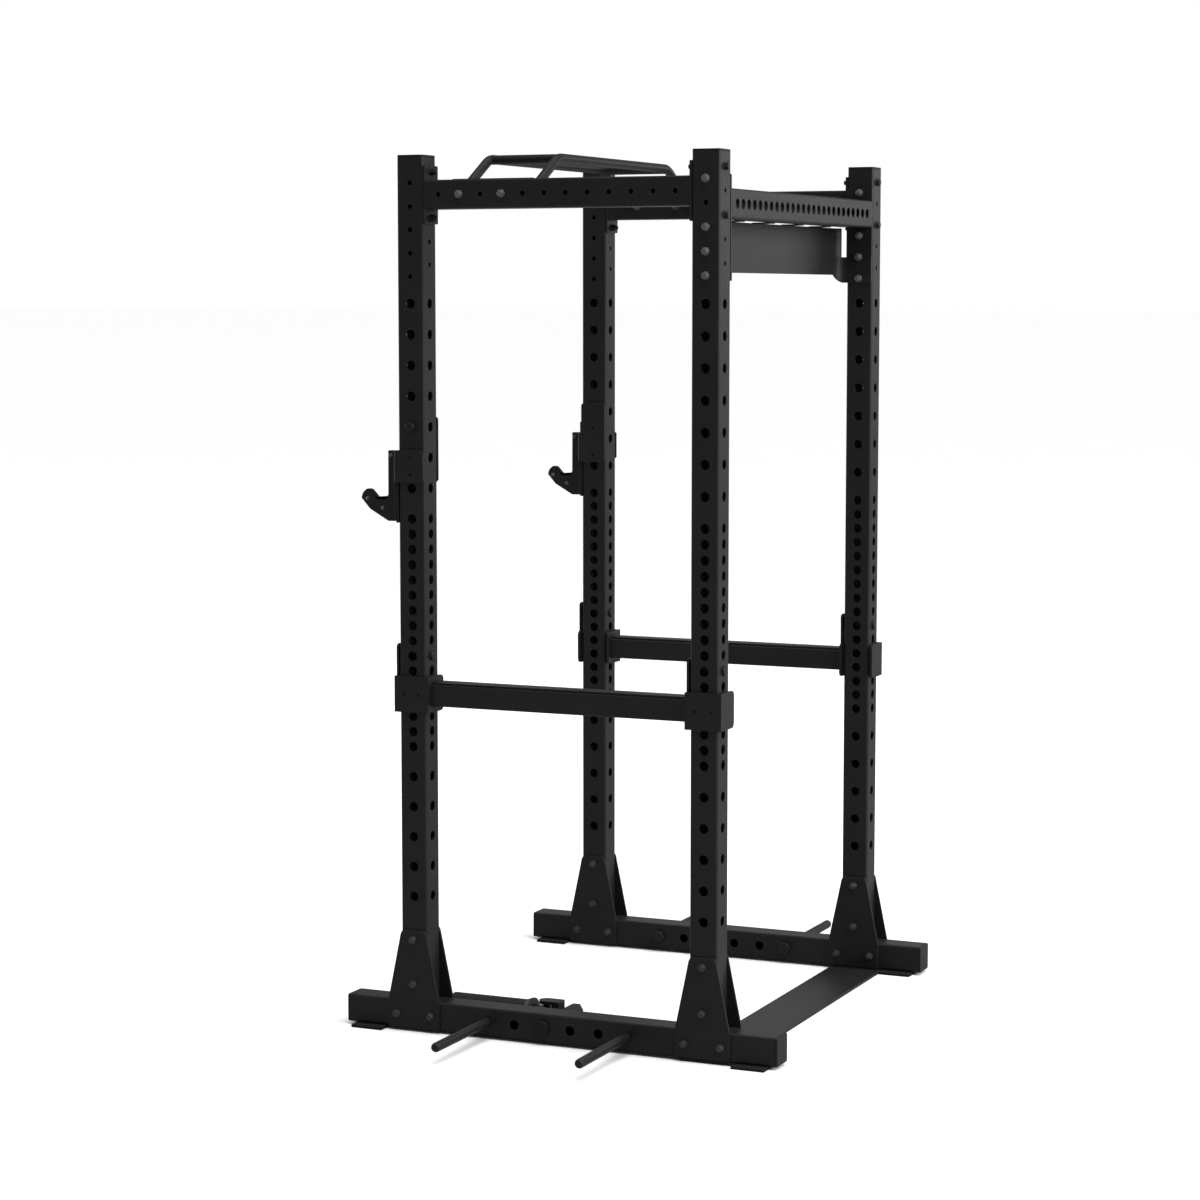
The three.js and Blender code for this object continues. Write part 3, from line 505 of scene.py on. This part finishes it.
pull_up = bmesh.new()
for sx in (-1, 1):
    plate = rounded((-210, 2206.25), 236, 78.5, 5, 4)
    slab(pull_up, "x", plate, sx * PLATE_INNER, sx * PLATE_OUTER)
piece = as_object("pull_up_frame_fine", pull_up)
parts = []
for y in PULL_UP_YS:
    bm = bmesh.new()
    pipe(bm, pull_up_path(y), PIN_RADIUS)
    parts.append(bm)
for sx in (-1, 1):
    bm = bmesh.new()
    lathe(bm, "y", (sx * 366, 2300.5), [(y, 12.4) for y in PULL_UP_YS], 28)
    parts.append(bm)
combine(piece, parts, "UNION")
soften(piece, 0.9)
settle(piece, "frame", "black_coat", ("pull_up_frame",))


# ---- Fasteners ----

def hexagon(bm, axis, center, start, height, flats, turn=0.0):
    """A chamfered hexagon, towards start + height."""
    radius = flats / math.sqrt(3)
    way = math.copysign(1, height)
    rings = []
    for along, scale in ((start, 1.0), (start + height - way * 1.4, 1.0), (start + height, 0.9)):
        ring = []
        for i in range(6):
            angle = math.pi / 3 * i + turn
            u = center[0] + radius * scale * math.cos(angle)
            v = center[1] + radius * scale * math.sin(angle)
            ring.append(at(axis, along, u, v))
        rings.append(ring)
    loft(bm, rings)


def bolt(bm, axis, center, head_face, nut_face, turn, size=1.0):
    """A washer and head at one face, and a washer, nut and thread end at the other."""
    way = math.copysign(1, head_face - nut_face)
    for face, out, height, stub in ((head_face, way, 7.5, 0.0), (nut_face, -way, 9.5, 5.0)):
        rod(bm, axis, center, face, face + out * 2.2 * size, 10.6 * size, 0.6, 28)
        start = face + out * 2.2 * size
        hexagon(bm, axis, center, start, out * height * size, 17.0 * size, turn)
        if stub:
            rod(bm, axis, center, start, start + out * (height + stub) * size, 5.8 * size, 0.9, 20)
        else:
            rod(bm, axis, center, start, start + out * (height + 0.5) * size, 6.8 * size, 0.5, 28)
        turn += 0.4


def bolt_group(name, body, places, size=1.0, material=BOLT):
    bm = bmesh.new()
    for i, (axis, center, head_face, nut_face) in enumerate(places):
        bolt(bm, axis, center, head_face, nut_face, 0.37 * i, size)
    settle(as_object(name, bm), body, "black_coat", material=material)


gusset_places = []
beam_places = []
for name, x, y, sx, sy in CORNERS:
    centers = [(y, RAIL_TOP + rise) for rise in FOOT_BOLT_RISES]
    centers += [(y - RAIL_BOLT_SPREAD, RAIL_Z), (y + RAIL_BOLT_SPREAD, RAIL_Z)]
    gusset_places += [("x", c, sx * GUSSET_OUTER, sx * PLATE_INNER) for c in centers]
    beam_places += [("y", (x, z), sy * UPRIGHT_OUTER_Y, sy * BEAM_END)
                    for z in (BEAM_Z - BEAM_BOLT_RISE, BEAM_Z + BEAM_BOLT_RISE)]
bolt_group("gusset_bolts", "frame", gusset_places)
bolt_group("side_beam_bolts", "frame", beam_places, material=DARK_BOLT)
bolt_group("crossmember_bolts", "frame", [
    ("x", (UPRIGHT_Y, z), sx * UPRIGHT_OUTER_X,
     sx * (PLATE_INNER if z > 2100 else PLATE_INNER - 3.3))
    for sx in (-1, 1) for z in (1993.5, 2053.5, 2113.5, 2233.5)
], material=STEEL)
bolt_group("pull_up_bolts", "frame", [
    ("x", (y, BEAM_Z), sx * UPRIGHT_OUTER_X, sx * PLATE_INNER)
    for sx in (-1, 1) for y in PULL_UP_BOLT_YS
], material=STEEL)

for name, x, y, sx, sy in CORNERS:
    bm = bmesh.new()
    center = (sy * 200, RAIL_Z)
    lathe(bm, "x", center, [
        (sx * 545, PIN_RADIUS), (sx * 914.5, PIN_RADIUS), (sx * 918, 11.6), (sx * 920.7, 9.0),
        (sx * 921.5, 5.0),
    ])
    hexagon(bm, "x", center, sx * PLATE_OUTER, -sx * 12.6, 32)
    settle(as_object(f"band_peg_{name}_fine", bm), "frame", "black_coat", (f"band_peg_{name}",))


# ---- Bar hooks ----

def hook_outline(proud, back):
    """The side view of a hook, as (y, z), with its seat and lip standing proud."""
    front = HOOK_STRIP_FRONT - proud
    seat = HOOK_SEAT + proud
    points = [(back, HOOK_LOW), (back, HOOK_HIGH), (front, HOOK_HIGH), (front, seat + 16)]
    points += quadratic(points[-1], (front - 1, seat), (front - 16, seat))
    points.append((-521 + proud, seat))
    points += quadratic(points[-1], (-529 + proud, seat), (-534 + proud, seat + 6), 5)
    points.append((-548 + proud, 1432.2 + proud))
    points += quadratic(points[-1], (-551 + proud, HOOK_LIP_TOP + proud),
                        (-555, HOOK_LIP_TOP + proud), 4)
    points.append((-559.5, HOOK_LIP_TOP + proud))
    points += quadratic(points[-1], (-570, 1432), (-573.5, 1414))
    points.append((-550, 1387.5))
    points += quadratic(points[-1], (-547, 1385), (-543.5, 1383), 4)
    points.append((-494, HOOK_LOW))
    return points


HOOK_SCREWS = [(-485.5, 1527.5), (-556, 1413), (-510.5, 1389)]
for side, sx in RIGHT_AND_LEFT:
    body = f"hook_{side}"
    x = sx * UPRIGHT_X
    refined(f"hook_liner_{side}", body, "black_plastic", 1.0)
    bm = bmesh.new()
    for start in (x - HOOK_HALF_WIDTH, x + HOOK_HALF_WIDTH - HOOK_CHEEK):
        slab(bm, "x", hook_outline(0, HOOK_BACK), start, start + HOOK_CHEEK)
    piece = as_object(f"hook_bracket_{side}_fine", bm)
    web = bmesh.new()
    block(web, (x - 40.5, x + 40.5), (-461.1, -456.1), (1357.5, 1541.5))
    plates = bmesh.new()
    for way, low, high in ((-sx, 1455, 1631), (sx, 1459, 1545)):
        outline = [(-449.5, low), (-382.5, low), (-374.5, low + 8), (-374.5, high - 8),
                   (-382.5, high), (-441.5, high), (-449.5, high - 8)]
        slab(plates, "x", outline, x + way * 40.5, x + way * BRACKET_FACE)
    bridges = bmesh.new()
    bend = [(BRACKET_FACE, -440)] + [
        (39.5 + 6 * math.cos(t), -455.1 - 6 * math.sin(t))
        for t in [math.pi * i / 12 for i in range(7)]
    ]
    wrap = bend + [(-u, v) for u, v in reversed(bend)]
    wrap += [(-40.5, -440), (-40.5, -456.1), (40.5, -456.1), (40.5, -440)]
    slab(bridges, "z", [(x + u, v) for u, v in wrap], 1459, 1542)
    combine(piece, [web, plates, bridges], "UNION")
    for way, heights in ((-sx, (1556, 1476)), (sx, (1525, 1480))):
        face = x + way * BRACKET_FACE
        combine(piece, [holes("x", (face - DIMPLE_DEPTH, face + DIMPLE_DEPTH),
                              [(-UPRIGHT_Y, z) for z in heights], DIMPLE_RADIUS)])
    soften(piece, 0.9)
    settle(piece, body, "black_coat", (f"hook_bracket_{side}",))

    bm = bmesh.new()
    slab(bm, "x", hook_outline(2.5, -461.5), x - 7.7, x + 7.7)
    piece = as_object(f"hook_cradle_{side}_fine", bm)
    soften(piece, 1.1, 3)
    settle(piece, body, "black_plastic", (f"hook_cradle_{side}",))

    bm = bmesh.new()
    center = (-UPRIGHT_Y, HOOK_ROW)
    rod(bm, "x", center, x - sx * 40.2, x + sx * 51.5, PIN_RADIUS, 2.6)
    settle(as_object(f"hook_pin_{side}_fine", bm), body, "black_coat", (f"hook_pin_{side}",))
    bolt_group(f"hook_screws_{side}", body,
               [("x", center, x + sx * HOOK_HALF_WIDTH, x - sx * HOOK_HALF_WIDTH)
                for center in HOOK_SCREWS], 0.5, STEEL)


# ---- Safety beams ----

for side, sx in RIGHT_AND_LEFT:
    body = f"safety_{side}"
    x = sx * UPRIGHT_X
    bm = bmesh.new()
    tube_into(bm, "y", -362.4, 362.4, (x, SAFETY_BEAM_Z), 60, 58, 5)
    piece = as_object(f"safety_beam_{side}_fine", bm)
    parts = []
    for sy in (-1, 1):
        y = sy * UPRIGHT_Y
        inner = x - sx * 43.5
        outer = x + sx * BRACKET_FACE
        plate = bmesh.new()
        block(plate, sorted((outer - sx * 5, outer)), (y - BRACKET_END, y + BRACKET_END),
              (BRACKET_LOW, BRACKET_HIGH))
        parts.append(plate)
        turns = [math.pi * i / 12 for i in range(7)]
        low_end = [(inner + sx * BRACKET_ROUNDING * (1 - math.sin(t)),
                    BRACKET_LOW + BRACKET_ROUNDING * (1 - math.cos(t))) for t in turns]
        ends = low_end + [(u, BRACKET_LOW + BRACKET_HIGH - v) for u, v in reversed(low_end)]
        for face in (y - BRACKET_END, y + BRACKET_LIP):
            plate = bmesh.new()
            slab(plate, "y", [(outer, BRACKET_LOW)] + ends + [(outer, BRACKET_HIGH)],
                 face, face + 6)
            parts.append(plate)
        tall = bmesh.new()
        outline = [(x - 32, 945), (x + 32, 945)] + [
            (x + u, 1034 + v)
            for u, v in ((32, -9), (29.5, -3), (23, 0), (-23, 0), (-29.5, -3), (-32, -9))
        ]
        slab(tall, "y", outline, y - BRACKET_END, y - BRACKET_LIP)
        parts.append(tall)
    combine(piece, parts, "UNION")
    for sy in (-1, 1):
        face = x + sx * BRACKET_FACE
        spots = [(sy * UPRIGHT_Y - 22, 901.5), (sy * UPRIGHT_Y + 22, 901.5)]
        combine(piece, [
            holes("x", (face - DIMPLE_DEPTH, face + DIMPLE_DEPTH), spots, DIMPLE_RADIUS),
        ])
    soften(piece, 0.9)
    settle(piece, body, "black_coat", (f"safety_beam_{side}",))
    refined(f"safety_strip_{side}", body, "black_plastic", 1.6)
    for end, sy in FRONT_AND_REAR:
        y = sy * UPRIGHT_Y
        refined(f"safety_liner_{end}_{side}", body, "black_plastic", 1.0)
        bm = bmesh.new()
        rod(bm, "y", (x, SAFETY_ROW), y - 43.5, y + 44.5, PIN_RADIUS, 2.6)
        settle(as_object(f"safety_pin_{end}_{side}_fine", bm), body, "black_coat",
               (f"safety_pin_{end}_{side}",))


# ---- Landmine ----

AXLE = (-40, RAIL_Z)
SLEEVE_X = 460
SWIVEL_Y = -100.5
bm = bmesh.new()
lathe(bm, "x", AXLE, [
    (631.5, 18.5), (631.2, 19.8), (629.8, 21), (623, 21), (621.8, 20.2), (621.7, PIN_RADIUS),
    (397.7, PIN_RADIUS),
])
hexagon(bm, "x", AXLE, 409.7, -12, 33)
settle(as_object("landmine_axle_fine", bm), "frame", "black_coat", ("landmine_axle",), PLASTIC)

bm = bmesh.new()
lathe(bm, "x", AXLE, [(410, 19), (411, 20), (542, 20), (543, 19)], 48)
piece = as_object("landmine_yoke_fine", bm)
wall = bmesh.new()
block(wall, (440, 480), (-78, -57), (10.8, 80.8))
parts = [wall]
for low in (10.8, 70.8):
    plate = bmesh.new()
    turns = [math.pi + math.pi * i / 20 for i in range(21)]
    outline = [(480, -57), (440, -57)]
    outline += [(SLEEVE_X + 20 * math.cos(t), SWIVEL_Y + 20 * math.sin(t)) for t in turns]
    slab(plate, "z", outline, low, low + 10)
    parts.append(plate)
combine(piece, parts, "UNION")
combine(piece, [
    holes("x", (400, 550), [AXLE], 12.9, 40),
    holes("z", (0, 120), [(SLEEVE_X, SWIVEL_Y)], SWIVEL_HOLE_RADIUS, 32),
])
soften(piece, 1.2)
settle(piece, "landmine_arm", "black_coat", ("landmine_yoke",))

bm = bmesh.new()
pin_center = (SLEEVE_X, SWIVEL_Y)
lathe(bm, "z", pin_center, [
    (10.9, 7.5), (11.9, 9), (80, 9), (80.8, 8.4), (80.8, 5.6), (75, 5.2),
], 32)
settle(as_object("landmine_swivel_pin_fine", bm), "landmine_arm", "plain_steel",
       ("landmine_swivel_pin",), BOLT)

bm = bmesh.new()
lathe(bm, "y", (SLEEVE_X, RAIL_Z), [
    (-136.5, 34), (-137, 35.8), (-138.5, 36.5), (-142, 36.5), (-145, 35.2), (-155, 31.5),
    (-159, 30.2), (-166, 30), (-373.8, 30), (-375, 28.8), (-375, 26.4), (-373.8, 25.5),
    (-166, 25.5), (-148, 25.5),
], 56)
piece = as_object("landmine_sleeve_fine", bm)
tongue = bmesh.new()
turns = [math.pi * i / 20 for i in range(21)]
outline = [(SLEEVE_X - 18, -138), (SLEEVE_X + 18, -138)]
outline += [(SLEEVE_X + 18 * math.cos(t), SWIVEL_Y + 18 * math.sin(t)) for t in turns]
slab(tongue, "z", outline, RAIL_Z - 15, RAIL_Z + 15)
combine(piece, [tongue], "UNION")
combine(piece, [holes("z", (20, 75), [pin_center], SWIVEL_HOLE_RADIUS, 32)])
soften(piece, 1.0)
settle(piece, "landmine_socket", "black_coat", ("landmine_sleeve",))


# ---- Floor, light and camera ----

floor_mesh = bmesh.new()
bmesh.ops.create_grid(floor_mesh, x_segments=1, y_segments=1, size=400)
floor = as_object("floor", floor_mesh)
floor_material, tree, shader, place = node_material("pale_floor", (0.86, 0.86, 0.86), 0.75)
tint = mix_colors(tree, noise(tree, place, 1.5, 2.0), (0.95, 0.95, 0.95), (0.97, 0.97, 0.97))
rays = tree.nodes.new("ShaderNodeLightPath")
seen = mix_colors(tree, rays.outputs["Is Camera Ray"], (0.36, 0.36, 0.36), tint)
tree.links.new(seen, shader.inputs["Base Color"])
floor.data.materials.append(floor_material)


def area_light(name, place, target, size, energy):
    light = bpy.data.lights.new(name, "AREA")
    light.shape = "RECTANGLE"
    light.size, light.size_y = size
    light.energy = energy
    lamp = bpy.data.objects.new(name, light)
    bpy.context.scene.collection.objects.link(lamp)
    lamp.location = place
    lamp.rotation_euler = (Vector(target) - Vector(place)).to_track_quat("-Z", "Y").to_euler()


def sun_light(name, direction, strength, angle):
    light = bpy.data.lights.new(name, "SUN")
    light.energy = strength
    light.angle = math.radians(angle)
    lamp = bpy.data.objects.new(name, light)
    bpy.context.scene.collection.objects.link(lamp)
    lamp.rotation_euler = Vector(direction).to_track_quat("-Z", "Y").to_euler()


area_light("rear_key", (0.5, 8.0, 4.2), (0, 0, 1.6), (6.0, 4.0), 720)
area_light("left_sheen", (-9.0, 4.4, 3.4), (0, 0.4, 2.0), (4.0, 3.0), 70)
area_light("front_fill", (-2.0, -8.0, 3.4), (0, 0, 1.3), (6.0, 4.0), 260)
area_light("left_fill", (-9.0, -2.5, 3.2), (0, 0, 1.3), (5.0, 4.0), 28)
sun_light("overhead", (-0.15, -0.25, -1.0), 2.9, 50)

world = bpy.data.worlds.new("studio")
bpy.context.scene.world = world
world.use_nodes = True
tree = world.node_tree
background = tree.nodes["Background"]
background.inputs["Color"].default_value = (1, 1, 1, 1)
paths = tree.nodes.new("ShaderNodeLightPath")
strength = remap(tree, paths.outputs["Is Camera Ray"], 0, 1, 0.22, 1.0)
tree.links.new(strength, background.inputs["Strength"])
bpy.context.scene.view_settings.view_transform = "Standard"

camera = bpy.data.cameras.new("camera")
camera.lens = 90.18
camera.sensor_width = 36
view = bpy.data.objects.new("camera", camera)
bpy.context.scene.collection.objects.link(view)
view.location = (7.5802, 3.2117, 1.9398)
view.rotation_euler = (math.radians(90 - 5.749), 0, math.radians(113.914))
bpy.context.scene.camera = view
